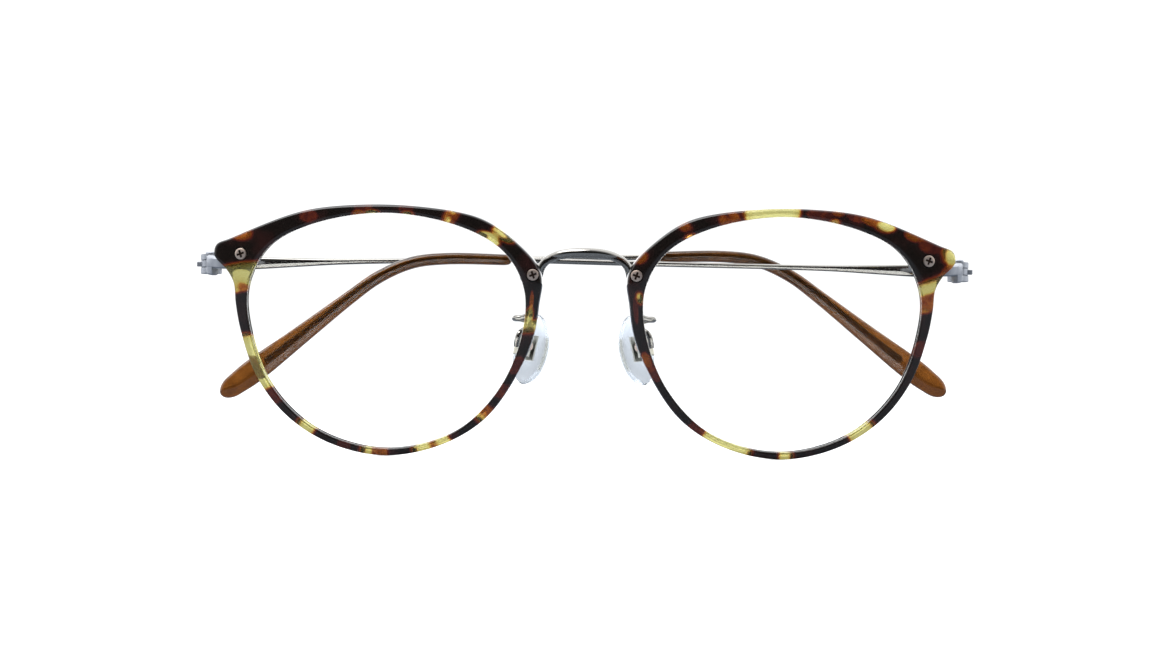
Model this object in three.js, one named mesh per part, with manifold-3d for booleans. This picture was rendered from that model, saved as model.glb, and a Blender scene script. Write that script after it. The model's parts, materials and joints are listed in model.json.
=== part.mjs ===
// Folded combination glasses: two separate plastic rims on a metal bridge and metal endpieces.
// Millimetres, +Z up, and the front faces -Y. Every piece is built for the +X side, which is the
// wearer's left, and mirrored for the other side.
import * as THREE from 'three';
import { mergeVertices } from 'three/addons/utils/BufferGeometryUtils.js';
import Module from 'manifold-3d';

const wasm = await Module();
wasm.setup();

const degrees = THREE.MathUtils.degToRad;
const vector = (x, y, z) => new THREE.Vector3(x, y, z);

// The front
const lensSpacing = 70.6; // 50 mm lens and 20 mm bridge, and a little play
const faceRadius = 150; // the rims bend back along a sphere of this radius
const faceWrap = degrees(4); // each rim turns back towards its temple
const frontLean = degrees(4); // the top of the front leans forward
const rimDepth = 3.6;
const rimBevel = 0.35;
const lensThickness = 1.4;
const lensInset = 1.1; // from the face of the rim back to the lens
const lensBite = 0.45; // how far the lens reaches into the rim's groove
const grooveGap = 0.28;

// Screws that hold the rims to the metal, as places on a lens's own face
const bridgeScrewAt = [-26.0, 10.4];
const endScrewAt = [26.0, 13.35];
const screwHead = { radius: 1.05, height: 0.6, recess: 0.35 };
const screwShank = { radius: 0.7, length: 5.2 };
const screwHole = 0.79;
const headGap = 0.15;
const lugThickness = 1.1;
const seatGap = 0.25; // between the back of a rim and the metal behind it

// Bridge
const bridgeWire = 0.75;
const bridgeLugRadius = 1.9;

// Hinge and temple, in a frame on the hinge axis whose Y runs along the open temple
const hingeAt = vector(67.0, 17, 10.75);
const pantoscopicAngle = degrees(7.6); // between the hinge axis and the front
const foldAngle = { left: degrees(91.5), right: degrees(88.5) }; // the left temple lies inside
const hingeCant = { left: degrees(-0.1), right: degrees(0.7) }; // play that lets a folded temple ride up
const knuckleRadius = 1.9;
const blockHeight = 3.4;
const slotHeight = 1.4;
const slotRadius = 2.9;
const tongueHeight = 1.2;
const barrelRadius = 1.85;
const heelReach = 2.6;
const hingeBore = 0.66;
const hingePin = 0.58;
const barThickness = 1.15;
const coreThickness = 0.9;
const tipThickness = 2.6;
const coreGap = 0.16;

// Nose pad, in a frame on the screw that it rocks about: X away from the nose, Z up the pad
const padPivot = vector(10.8, 9.3, -2.75);
const padSplay = degrees(50);
const padLean = degrees(19);
const padThickness = 2.2;
const padBack = -1.35; // the pad's back face, nose side of the screw
const padScrewRadius = 0.32;
const padScrewBore = 0.4;
const armWire = 0.52;

// Outlines as [across, up] from the lens centre, positive towards the temple, clockwise
const lensOutline = [
  [-24.2, 0], [-24.4, 8], [-20.8, 14.4], [-13.2, 18.7], [0, 21.0], [13.2, 18.8], [20.9, 14.6],
  [24.5, 7.5], [23.9, -0.5], [20.3, -9.7], [12.2, -17.4], [0, -20.7], [-12.3, -17.6], [-20.2, -9.9],
];
const rimOutline = [
  [-26.4, 0], [-27.1, 5.2], [-27.6, 9.6], [-26.4, 12.6], [-21.2, 17.6], [-17.1, 20.1],
  [-12.6, 21.4], [-4.1, 22.4], [4.0, 22.5], [12.6, 21.7], [18.2, 20.2], [28.0, 16.1],
  [30.6, 14.9], [30.9, 12.9], [28.6, 10.5], [27.3, 8.2], [26.9, 4.6], [26.0, 0],
  [23.2, -8.0], [17.9, -15.0], [10.0, -20.0], [0, -22.1], [-10.2, -20.0], [-18.1, -15.0],
  [-24.0, -6.2],
];

// Centre lines as stations of [along, up, half the width]
const barStations = [
  [3.2, 0.05, 1.1], [8, 0.15, 1.1], [16, 0.3, 0.8], [24, 0.45, 0.54], [60, 0.95, 0.5],
  [80, 1.3, 0.5], [92, 1.4, 0.5], [98, 0.6, 0.55], [104, -2.1, 0.55], [118.2, -13, 0.6],
  [123.4, -17.1, 0.75],
];
const tipStations = [
  [80, 1.3, 1], [92, 1.4, 1.08], [98, 0.6, 1.1], [104, -2.1, 1.15], [109.2, -5.9, 1.25],
  [118.2, -13, 1.7], [124.2, -17.7, 2.1], [128, -20.6, 2.1], [130.4, -22.4, 1.75],
];
const boreStations = [
  [79, 1.28, 0.66], [92, 1.4, 0.68], [98, 0.6, 0.72], [104, -2.1, 0.72], [118.2, -13, 0.78],
  [123.7, -17.3, 0.93],
];

// The endpiece from above, [across, back, half the thickness], from its lug to its hinge
const endArmStations = [
  [62.0, 9.7, 0.6], [64.2, 10.2, 0.62], [66.0, 11.6, 0.65], [66.9, 13.8, 0.7], [67, 16.2, 0.8],
];
const endArmHeight = 2.0;
const endArmRise = 0.6; // the arm keeps to the upper part of the hinge, out of sight behind the rim
const endPlateRadius = 2.5;

const metal = { color: 0x9a9a95, metalness: 1, roughness: 0.3 };
const looks = {
  rim: { color: 0x2a1512, roughness: 0.2 },
  lens: { color: 0xf2f6f8, roughness: 0.05, transparent: true, opacity: 0.25 },
  metal,
  tip: { color: 0x8a5220, roughness: 0.2 },
  pad: { color: 0xd5dde8, roughness: 0.25, transparent: true, opacity: 0.7 },
  insert: { color: 0xe6dfc8, roughness: 0.5 },
};

// Solids: three.js geometry in, joined and cut by manifold, three.js geometry out

function solid(geometry, frame = new THREE.Matrix4()) {
  const bare = geometry.clone().applyMatrix4(frame);
  bare.deleteAttribute('normal');
  bare.deleteAttribute('uv');
  const merged = mergeVertices(bare, 1e-4);
  return new wasm.Manifold(new wasm.Mesh({
    numProp: 3,
    vertProperties: merged.attributes.position.array,
    triVerts: Uint32Array.from(merged.index.array),
  }));
}

function geometryOf(body) {
  const { vertProperties, triVerts } = body.getMesh();
  const geometry = new THREE.BufferGeometry();
  geometry.setAttribute('position', new THREE.BufferAttribute(vertProperties, 3));
  geometry.setIndex(new THREE.BufferAttribute(triVerts, 1));
  geometry.computeVertexNormals();
  return geometry;
}

function mirrored(geometry) {
  const copy = geometry.clone().scale(-1, 1, 1);
  const corners = copy.index.array;
  for (let i = 0; i < corners.length; i += 3) {
    [corners[i], corners[i + 1]] = [corners[i + 1], corners[i]];
  }
  copy.computeVertexNormals();
  return copy;
}

// Shapes

const closedShape = (points, grow = 0) => {
  const grown = points.map(([across, up]) => {
    const factor = 1 + grow / Math.hypot(across, up);
    return vector(across * factor, up * factor, 0);
  });
  const curve = new THREE.CatmullRomCurve3(grown.reverse(), true, 'centripetal');
  const corners = curve.getPoints(3 * points.length).slice(0, -1);
  return new THREE.Shape(corners.map((p) => new THREE.Vector2(p.x, p.y)));
};

// A strip that follows its stations, widened to both sides, with a half-round far end
function ribbon(stations, steps) {
  const line = new THREE.CatmullRomCurve3(stations.map((s) => vector(...s)), false, 'centripetal');
  const upper = [];
  const lower = [];
  for (let i = 0; i <= steps; i++) {
    const { x, y, z: half } = line.getPointAt(i / steps);
    const tangent = line.getTangentAt(i / steps);
    const side = new THREE.Vector2(-tangent.y, tangent.x).normalize();
    upper.push(new THREE.Vector2(x + side.x * half, y + side.y * half));
    lower.push(new THREE.Vector2(x - side.x * half, y - side.y * half));
  }
  const end = upper[steps].clone().add(lower[steps]).multiplyScalar(0.5);
  const spoke = upper[steps].clone().sub(end);
  const corner = new THREE.Vector2();
  const arc = [1, 2, 3, 4, 5].map((k) => spoke.clone().rotateAround(corner, -k * Math.PI / 6).add(end));
  return new THREE.Shape([...upper, ...arc, ...lower.reverse()]);
}

// A shape given a thickness, centred on its own plane, with its edges bevelled inwards
function slab(shape, thickness, bevel = 0) {
  const geometry = new THREE.ExtrudeGeometry(shape, {
    depth: thickness - 2 * bevel, curveSegments: 12, bevelEnabled: bevel > 0, bevelSegments: 1,
    bevelThickness: bevel, bevelSize: bevel, bevelOffset: -bevel,
  });
  return geometry.translate(0, 0, bevel - thickness / 2);
}

const rod = (radius, length, sides = 14) => new THREE.CylinderGeometry(radius, radius, length, sides);
const block = (x, y, z) => new THREE.BoxGeometry(x, y, z);

function wire(points, radius, steps) {
  const ring = new THREE.Shape().absarc(0, 0, radius, 0, 2 * Math.PI);
  return new THREE.ExtrudeGeometry(ring, {
    curveSegments: 4, steps, extrudePath: new THREE.CatmullRomCurve3(points),
  });
}

// Frames

const at = (x, y, z) => new THREE.Matrix4().makeTranslation(x, y, z);
const turned = (x, y, z) => new THREE.Matrix4().makeRotationFromEuler(new THREE.Euler(x, y, z));
const upright = turned(Math.PI / 2, 0, 0); // a slab's face to -Y, a rod to Z
const sideways = new THREE.Matrix4().makeBasis(vector(0, 1, 0), vector(0, 0, 1), vector(1, 0, 0));
const eye = at(lensSpacing / 2, 0, 0).multiply(turned(0, 0, faceWrap));

const sag = (across, up) => faceRadius - Math.sqrt(faceRadius ** 2 - across ** 2 - up ** 2);

// A frame on the bent face of a rim, with Y into the face and Z up it
function seat([across, up]) {
  const point = vector(across, sag(across, up), up);
  const inward = vector(0, faceRadius, 0).sub(point).normalize();
  const sidewards = inward.clone().cross(vector(0, 0, 1)).normalize();
  const upwards = sidewards.clone().cross(inward);
  return new THREE.Matrix4().makeBasis(sidewards, inward, upwards).setPosition(point);
}

const onFront = (place) => eye.clone().multiply(seat(place));

function toSide(frame, side) {
  const flip = new THREE.Matrix4().makeScale(side, 1, 1);
  return flip.clone().multiply(frame).multiply(flip);
}

const behindRim = rimDepth + seatGap + lugThickness / 2;

// Pieces

// A ring between two outlines, its middle at this depth behind the face, bent back with the face
function bentRing(outer, inner, thickness, middle, bevel) {
  outer.holes.push(inner);
  const ring = slab(outer, thickness, bevel).applyMatrix4(at(0, middle, 0).multiply(upright));
  const place = ring.attributes.position;
  for (let i = 0; i < place.count; i++) {
    place.setY(i, place.getY(i) + sag(place.getX(i), place.getZ(i)));
  }
  return solid(ring);
}

function rim() {
  const grooveOutline = closedShape(lensOutline, lensBite + grooveGap);
  const groove = bentRing(grooveOutline, closedShape(lensOutline, -1),
    lensThickness + 2 * grooveGap, lensInset + lensThickness / 2, 0);
  const ring = bentRing(
    closedShape(rimOutline), closedShape(lensOutline), rimDepth, rimDepth / 2, rimBevel,
  );
  let body = ring.subtract(groove);
  for (const screw of [bridgeScrewAt, endScrewAt]) {
    const { radius, recess } = screwHead;
    body = body.subtract(solid(rod(screwHole, 3 * rimDepth), seat(screw)));
    body = body.subtract(solid(rod(radius + headGap, 2 * (recess + 0.3)), seat(screw)));
  }
  return geometryOf(body);
}

function lens() {
  const rings = [0, 6, 12, 17, 22, 27];
  const front = rings.map((r) => new THREE.Vector2(r, sag(r, 0) + lensInset));
  const back = rings.map((r) => new THREE.Vector2(r, sag(r, 0) + lensInset + lensThickness)).reverse();
  const dome = new THREE.LatheGeometry([...front, ...back], 30);
  const outline = solid(slab(closedShape(lensOutline, lensBite), 30), upright);
  return geometryOf(solid(dome).intersect(outline));
}

// A front screw: its head sits in the rim's recess and its shank reaches the metal behind
function rimScrew() {
  const { radius, height, recess } = screwHead;
  const top = recess - height;
  const profile = [
    [0, top], [radius - 0.15, top], [radius, top + 0.15], [radius, recess], [screwShank.radius, recess],
    [screwShank.radius, recess + screwShank.length], [0, recess + screwShank.length],
  ];
  const turning = new THREE.LatheGeometry(profile.map(([r, y]) => new THREE.Vector2(r, y)), 20);
  const slots = solid(block(1.3, 0.6, 0.34)).add(solid(block(0.34, 0.6, 1.3)));
  return geometryOf(solid(turning).subtract(slots.translate([0, top, 0])));
}

function bridge() {
  const half = [
    [3.6, 4.1, 13.95], [5.9, 5.0, 13.2], [7.4, 5.7, 12.0], [8.1, 5.8, 10.2], [8.2, 5.8, 7.9],
  ];
  const path = [
    ...half.map(([x, y, z]) => vector(-x, y, z)).reverse(), vector(0, 3.6, 14.2),
    ...half.map((p) => vector(...p)),
  ];
  let body = solid(wire(path, bridgeWire, 26));
  for (const side of [1, -1]) {
    const lug = toSide(onFront(bridgeScrewAt), side);
    const plate = rod(bridgeLugRadius, lugThickness, 20);
    body = body.add(solid(plate, lug.clone().multiply(at(0, behindRim, 0))));
    body = body.subtract(solid(rod(screwHole, 16, 12), lug));
  }
  return geometryOf(body);
}

const hingeFrame = (hand) => at(...hingeAt.toArray())
  .multiply(turned(-pantoscopicAngle, hingeCant[hand], 0));

function endpiece(hand) {
  const axle = hingeFrame(hand).multiply(upright);
  const lug = onFront(endScrewAt);
  const plate = solid(rod(endPlateRadius, lugThickness, 22), lug.clone().multiply(at(0, behindRim, 0)));
  const arm = solid(slab(ribbon(endArmStations, 10), endArmHeight, 0.3), at(0, 0, hingeAt.z + endArmRise));
  const root = solid(slab(ribbon(endArmStations.slice(2), 6), blockHeight, 0.3), at(0, 0, hingeAt.z));
  const cheek = solid(rod(knuckleRadius, blockHeight, 20), axle);
  const slot = solid(rod(slotRadius, slotHeight, 24), axle);
  const bore = solid(rod(hingeBore, 8, 14), axle);
  const screwBore = solid(rod(screwHole, 16, 12), lug);
  const whole = plate.add(arm).add(root).add(cheek);
  return geometryOf(whole.subtract(slot).subtract(bore).subtract(screwBore));
}

function hingeScrew() {
  const headTop = blockHeight / 2 + 0.5;
  const profile = [
    [0, headTop], [0.85, headTop], [1.05, headTop - 0.2], [1.05, blockHeight / 2 + 0.1],
    [hingePin, blockHeight / 2 + 0.1], [hingePin, 0.3 - blockHeight / 2], [0, 0.3 - blockHeight / 2],
  ];
  const turning = new THREE.LatheGeometry(profile.reverse().map(([r, y]) => new THREE.Vector2(r, y)), 18);
  const slot = solid(block(2.4, 0.5, 0.3), at(0, headTop, 0));
  return geometryOf(solid(turning).subtract(slot)).applyMatrix4(upright);
}

function temple() {
  const bar = solid(slab(ribbon(barStations, 32), barThickness, 0.25), sideways);
  const thinned = solid(slab(ribbon(barStations, 32), coreThickness), sideways);
  const inTip = solid(block(8, 80, 60), at(0, tipStations[0][0] + 40, 0));
  const tongue = solid(block(1.5, 3.4, tongueHeight), at(0, 1.7, 0))
    .add(solid(rod(barrelRadius, tongueHeight, 20), upright));
  const heel = solid(block(0.9, heelReach, 0.87), at(0, -heelReach / 2, 0));
  const pinHole = solid(rod(hingeBore, 8, 14), upright);
  return geometryOf(bar.subtract(inTip).add(thinned).add(tongue).add(heel).subtract(pinHole));
}

function tip() {
  const outer = solid(slab(ribbon(tipStations, 20), tipThickness, 0.62), sideways);
  const bore = solid(slab(ribbon(boreStations, 18), coreThickness + 2 * coreGap), sideways);
  return geometryOf(outer.subtract(bore));
}

// The nose pad and what carries it

const padOutline = [
  [0, 6.6], [2.5, 4.6], [3.65, 0.6], [3.2, -3.6], [0.6, -6.6], [-2.4, -5.2], [-3.7, -1.2],
  [-3.1, 3.2],
];

function nosePad() {
  const face = at(padBack - padThickness / 2, 0, 0).multiply(sideways);
  const body = solid(slab(closedShape(padOutline), padThickness, 0.55), face);
  return geometryOf(body.subtract(solid(block(1.9, 3.7, 5.1), at(padBack, 0, 0))));
}

function padInsert() {
  const plate = solid(block(0.6, 3.2, 4.6), at(padBack - 0.35, 0, 0));
  const stud = solid(block(1.9, 1.2, 2.2), at(padBack + 0.9, 0, 0));
  const bore = solid(rod(padScrewBore, 4, 12));
  return geometryOf(plate.add(stud).subtract(bore));
}

function padBox() {
  const outer = solid(slab(new THREE.Shape([
    new THREE.Vector2(-0.75, -1.25), new THREE.Vector2(0.9, -1.25), new THREE.Vector2(1.25, -0.9),
    new THREE.Vector2(1.25, 0.9), new THREE.Vector2(0.9, 1.25), new THREE.Vector2(-0.75, 1.25),
  ]), 3.6));
  const inner = solid(block(1.7, 1.8, 5), at(0, 0, 0));
  return geometryOf(outer.subtract(inner).subtract(solid(rod(padScrewBore, 4, 12))));
}

function padScrew() {
  const profile = [
    [0, -1.75], [0.7, -1.75], [0.8, -1.6], [0.8, -1.32], [padScrewRadius, -1.32],
    [padScrewRadius, 1.3], [0, 1.3],
  ];
  const turning = new THREE.LatheGeometry(profile.map(([r, y]) => new THREE.Vector2(r, y)), 14);
  return geometryOf(solid(turning));
}

function padArm() {
  const path = [
    [8.22, 5.8, 7.76], [8.4, 5.8, 5.6], [9.3, 5.9, 3.5], [11.0, 6.5, 2.45], [12.2, 7.3, 2.3],
    [12.25, 8.4, 2.15], [11.2, 9.3, 2.0], [10.0, 9.7, 1.5], [9.7, 9.2, 0.8], [10.6, 8.3, 0.2],
    [11.5, 7.6, -0.5], [11.9, 7.5, -1.6], [11.98, 7.9, -2.75],
  ];
  return geometryOf(solid(wire(path.map((p) => vector(...p)), armWire, 24)));
}

// Assembly

const glasses = new THREE.Group();
const front = new THREE.Group();
front.rotation.x = frontLean;
glasses.add(front);

function add(parent, name, geometry, look, frame = new THREE.Matrix4(), side = 1) {
  const shape = side > 0 ? geometry : mirrored(geometry);
  const mesh = new THREE.Mesh(shape, new THREE.MeshStandardMaterial(looks[look]));
  mesh.name = name;
  toSide(frame, side).decompose(mesh.position, mesh.quaternion, mesh.scale);
  parent.add(mesh);
}

const padFrame = at(...padPivot.toArray())
  .multiply(turned(0, 0, -padSplay))
  .multiply(turned(0, -padLean, 0));
const made = {
  rim: rim(), lens: lens(), rimScrew: rimScrew(), hingeScrew: hingeScrew(),
  temple: temple(), tip: tip(), nosePad: nosePad(), padInsert: padInsert(), padBox: padBox(),
  padScrew: padScrew(), padArm: padArm(),
};

add(front, 'bridge', bridge(), 'metal');
for (const [hand, side] of [['left', 1], ['right', -1]]) {
  add(front, `rim_${hand}`, made.rim, 'rim', eye, side);
  add(front, `lens_${hand}`, made.lens, 'lens', eye, side);
  add(front, `bridge_screw_${hand}`, made.rimScrew, 'metal', onFront(bridgeScrewAt), side);
  add(front, `endpiece_screw_${hand}`, made.rimScrew, 'metal', onFront(endScrewAt), side);
  add(front, `endpiece_${hand}`, endpiece(hand), 'metal', undefined, side);
  add(front, `hinge_screw_${hand}`, made.hingeScrew, 'metal', hingeFrame(hand), side);
  add(front, `pad_arm_${hand}`, made.padArm, 'metal', undefined, side);
  add(front, `pad_box_${hand}`, made.padBox, 'metal', padFrame, side);
  add(front, `pad_screw_${hand}`, made.padScrew, 'metal', padFrame, side);
  add(front, `pad_insert_${hand}`, made.padInsert, 'insert', padFrame, side);
  add(front, `nose_pad_${hand}`, made.nosePad, 'pad', padFrame, side);
  const folded = hingeFrame(hand).multiply(turned(0, 0, foldAngle[hand]));
  add(front, `temple_${hand}`, made.temple, 'metal', folded, side);
  add(front, `temple_tip_${hand}`, made.tip, 'tip', folded, side);
}

// Stand the folded glasses on their rims, with the middle of their box over the origin
const extent = new THREE.Box3().setFromObject(glasses, true);
const middle = extent.getCenter(vector(0, 0, 0));
glasses.position.set(-middle.x, -middle.y, -extent.min.z);

export default glasses;
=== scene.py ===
import json
from math import atan2, cos, degrees, hypot, radians, sin, sqrt

import bmesh
import bpy
from mathutils import Matrix, Vector


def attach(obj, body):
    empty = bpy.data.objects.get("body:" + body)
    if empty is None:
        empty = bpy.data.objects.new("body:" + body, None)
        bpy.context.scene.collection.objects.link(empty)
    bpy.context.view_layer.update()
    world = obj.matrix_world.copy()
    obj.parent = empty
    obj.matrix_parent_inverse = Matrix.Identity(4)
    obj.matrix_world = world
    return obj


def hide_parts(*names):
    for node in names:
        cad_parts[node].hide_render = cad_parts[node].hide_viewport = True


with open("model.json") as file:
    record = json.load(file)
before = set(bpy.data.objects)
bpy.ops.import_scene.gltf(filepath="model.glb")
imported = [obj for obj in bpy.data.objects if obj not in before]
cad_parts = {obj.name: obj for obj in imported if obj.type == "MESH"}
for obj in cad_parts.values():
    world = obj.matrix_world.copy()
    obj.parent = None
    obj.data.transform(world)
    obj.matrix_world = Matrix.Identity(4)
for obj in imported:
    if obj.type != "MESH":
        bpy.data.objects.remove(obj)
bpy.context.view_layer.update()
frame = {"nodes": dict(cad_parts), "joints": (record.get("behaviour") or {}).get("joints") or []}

# Folded glasses with two havana plastic rims, and a metal bridge, endpieces and temples.
# Shapes are written in millimetres and become metres when a mesh is made.
# Each piece is shaped on the +X side (the wearer's left) and mirrored for the other side.

mm = 0.001
sides = {"left": 1, "right": -1}
crease = radians(38)    # edges sharper than this stay crisp
weldGap = 0.002 * mm    # points closer than this are one
collection = bpy.context.scene.collection

front = {
    "lean": 4,            # degrees, the top of the front leans forward
    "lensSpacing": 70.6,
    "wrap": 4,            # degrees, each rim turns back to its temple
    "faceRadius": 150,    # the rims bend back along a sphere
    "hingeAt": (67.0, 17.0, 10.75),
    "pantoscopic": 7.6,   # degrees between the hinge axis and the front
    "fold": {"left": 91.5, "right": 88.5},
    "cant": {"left": -0.1, "right": 0.7},
}
jointPlace = {j["name"]: Vector(j["pos_m"]) / mm for j in frame["joints"] if "pos_m" in j}

lean = Matrix.Rotation(radians(front["lean"]), 4, "X")
frontFrame = Matrix.Translation(
    jointPlace["left_temple_fold"] - lean @ Vector(front["hingeAt"])) @ lean
eyeFrame = Matrix.Translation((front["lensSpacing"] / 2, 0, 0)) @ Matrix.Rotation(
    radians(front["wrap"]), 4, "Z")


def sag(across, up):  # how far the face has bent back at this place
    radius = front["faceRadius"]
    return radius - sqrt(radius ** 2 - across ** 2 - up ** 2)


def seat(across, up):  # a frame on the bent face, Y into it and Z up it
    point = Vector((across, sag(across, up), up))
    inward = (Vector((0, front["faceRadius"], 0)) - point).normalized()
    sidewards = inward.cross(Vector((0, 0, 1))).normalized()
    axes = Matrix((sidewards, inward, sidewards.cross(inward))).transposed().to_4x4()
    return eyeFrame @ Matrix.Translation(point) @ axes


def hingeFrame(hand):
    return (Matrix.Translation(front["hingeAt"])
            @ Matrix.Rotation(radians(front["cant"][hand]), 4, "Y")
            @ Matrix.Rotation(radians(-front["pantoscopic"]), 4, "X"))


def templeFrame(hand):
    return hingeFrame(hand) @ Matrix.Rotation(radians(front["fold"][hand]), 4, "Z")


def toSide(matrix, hand):  # from the +X side's frame on the front to this side's place in the model
    flip = Matrix.Scale(sides[hand], 4, (1, 0, 0))
    return frontFrame @ flip @ matrix


def curveThrough(points, perSpan, closed=False):  # a smooth line with perSpan steps between points
    points = [Vector(p) for p in points]
    count = len(points)
    line = []
    for i in range(count if closed else count - 1):
        near, far = points[i], points[(i + 1) % count]
        before = points[i - 1] if closed or i else 2 * near - far
        after = points[(i + 2) % count] if closed or i + 2 < count else 2 * far - near
        a, b, c = (sqrt((q - p).length) for p, q in ((before, near), (near, far), (far, after)))
        leave = b * ((near - before) / a - (far - before) / (a + b) + (far - near) / b)
        arrive = b * ((far - near) / b - (after - near) / (b + c) + (after - far) / c)
        for step in range(perSpan):
            t = step / perSpan
            line.append(near * (2 * t ** 3 - 3 * t ** 2 + 1) + leave * (t ** 3 - 2 * t ** 2 + t)
                        + far * (3 * t ** 2 - 2 * t ** 3) + arrive * (t ** 3 - t ** 2))
    if not closed:
        line.append(points[-1])
    return line


def addPiece(name, data):
    piece = bpy.data.objects.new(name, data)
    collection.objects.link(piece)
    return piece


def meshFrom(name, points, faces, matrix=Matrix()):  # points in mm, in matrix's frame
    mesh = bpy.data.meshes.new(name)
    mesh.from_pydata([(matrix @ Vector(p)) * mm for p in points], [], faces)
    work = bmesh.new()
    work.from_mesh(mesh)
    bmesh.ops.recalc_face_normals(work, faces=work.faces)
    for face in work.faces:
        face.smooth = True
    work.to_mesh(mesh)
    work.free()
    return addPiece(name, mesh)


def loft(name, rings, matrix=Matrix(), loop=False):  # a skin over rings of points, ends capped
    size = len(rings[0])
    points = [p for ring in rings for p in ring]
    faces = []
    for i in range(len(rings) if loop else len(rings) - 1):
        here, there = i * size, (i + 1) % len(rings) * size
        for k in range(size):
            n = (k + 1) % size
            faces.append((here + k, here + n, there + n, there + k))
    if not loop:
        faces.append(tuple(range(size)))
        faces.append(tuple(range(len(points) - size, len(points))))
    return meshFrom(name, points, faces, matrix)


def smoother(piece, levels):
    finer = piece.modifiers.new("Smooth skin", "SUBSURF")
    finer.levels = finer.render_levels = levels
    return piece


def rounded(piece, width, segments=2, angle=35):
    edge = piece.modifiers.new("Rounded edges", "BEVEL")
    edge.width = width * mm
    edge.segments = segments
    edge.limit_method = "ANGLE"
    edge.angle_limit = radians(angle)
    edge.miter_outer = "MITER_ARC"
    return piece


def applied(piece):  # the finished mesh in place of the stack
    bpy.context.view_layer.update()
    finished = bpy.data.meshes.new_from_object(
        piece.evaluated_get(bpy.context.evaluated_depsgraph_get()))
    piece.modifiers.clear()
    piece.data = finished
    return piece


def cutBy(piece, cutters):  # cutters are helpers, and go when the cut is made
    for cutter in cutters:
        cut = piece.modifiers.new("Cut", "BOOLEAN")
        cut.operation = "DIFFERENCE"
        cut.solver = "EXACT"
        cut.object = cutter
    applied(piece)
    for cutter in cutters:
        bpy.data.objects.remove(cutter)
    piece.data.set_sharp_from_angle(angle=crease)
    return piece


def turnedShape(name, profile, matrix, steps=40):  # profile [radius, depth along Y], tip to tip
    mesh = bpy.data.meshes.new(name)
    mesh.from_pydata([(r * mm, 0, -y * mm) for r, y in profile], [],
                     [(i, i + 1) for i in range(len(profile) - 1)])
    piece = addPiece(name, mesh)
    turn = piece.modifiers.new("Turned", "SCREW")
    turn.axis = "Z"
    turn.steps = turn.render_steps = steps
    turn.use_merge_vertices = True
    turn.merge_threshold = 2 * weldGap
    applied(piece)
    work = bmesh.new()
    work.from_mesh(piece.data)
    bmesh.ops.remove_doubles(work, verts=work.verts, dist=weldGap)
    bmesh.ops.transform(work, matrix=Matrix.Rotation(radians(90), 4, "X"), verts=work.verts)
    bmesh.ops.scale(work, vec=(1 / mm,) * 3, verts=work.verts)
    bmesh.ops.transform(work, matrix=matrix, verts=work.verts)
    bmesh.ops.scale(work, vec=(mm,) * 3, verts=work.verts)
    bmesh.ops.recalc_face_normals(work, faces=work.faces)
    for face in work.faces:
        face.smooth = True
    work.to_mesh(piece.data)
    work.free()
    piece.data.set_sharp_from_angle(angle=crease)
    return piece


def box(name, size, matrix):
    x, y, z = (s / 2 for s in size)
    points = [(i * x, j * y, k * z) for i in (-1, 1) for j in (-1, 1) for k in (-1, 1)]
    faces = [(0, 1, 3, 2), (4, 6, 7, 5), (0, 4, 5, 1), (2, 3, 7, 6), (0, 2, 6, 4), (1, 5, 7, 3)]
    piece = meshFrom(name, points, faces, matrix)
    for face in piece.data.polygons:
        face.use_smooth = False
    return piece


def wire(name, points, radius, matrix, thick=None):  # a round wire through these points
    data = bpy.data.curves.new(name, "CURVE")
    data.dimensions = "3D"
    data.bevel_depth = radius * mm
    data.bevel_resolution = 6
    data.resolution_u = data.render_resolution_u = 10
    data.use_fill_caps = True
    line = data.splines.new("BEZIER")
    line.bezier_points.add(len(points) - 1)
    for i, (spot, place) in enumerate(zip(line.bezier_points, points)):
        spot.co = (matrix @ Vector(place)) * mm
        spot.radius = thick[i] if thick else 1
        spot.handle_left_type = spot.handle_right_type = "AUTO"
    return addPiece(name, data)


def machined(node, name, edge):  # the solid's own shape with its flats whole and its edges eased
    mesh = frame["nodes"][node].data.copy()
    mesh.name = name
    mesh.materials.clear()
    work = bmesh.new()
    work.from_mesh(mesh)
    bmesh.ops.remove_doubles(work, verts=work.verts, dist=weldGap)
    bmesh.ops.dissolve_limit(work, angle_limit=radians(1.5), verts=work.verts, edges=work.edges)
    bmesh.ops.recalc_face_normals(work, faces=work.faces)
    for face in work.faces:
        face.smooth = True
    work.to_mesh(mesh)
    work.free()
    for key in list(mesh.keys()):
        del mesh[key]
    mesh.set_sharp_from_angle(angle=crease)
    return rounded(addPiece(name, mesh), edge)


def done(piece, body, slot, material, *nodes):  # finish the piece and hand it to its body
    piece.data.materials.clear()
    piece.data.materials.append(material)
    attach(piece, body)
    if nodes:
        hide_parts(*nodes)
    return piece


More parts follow.
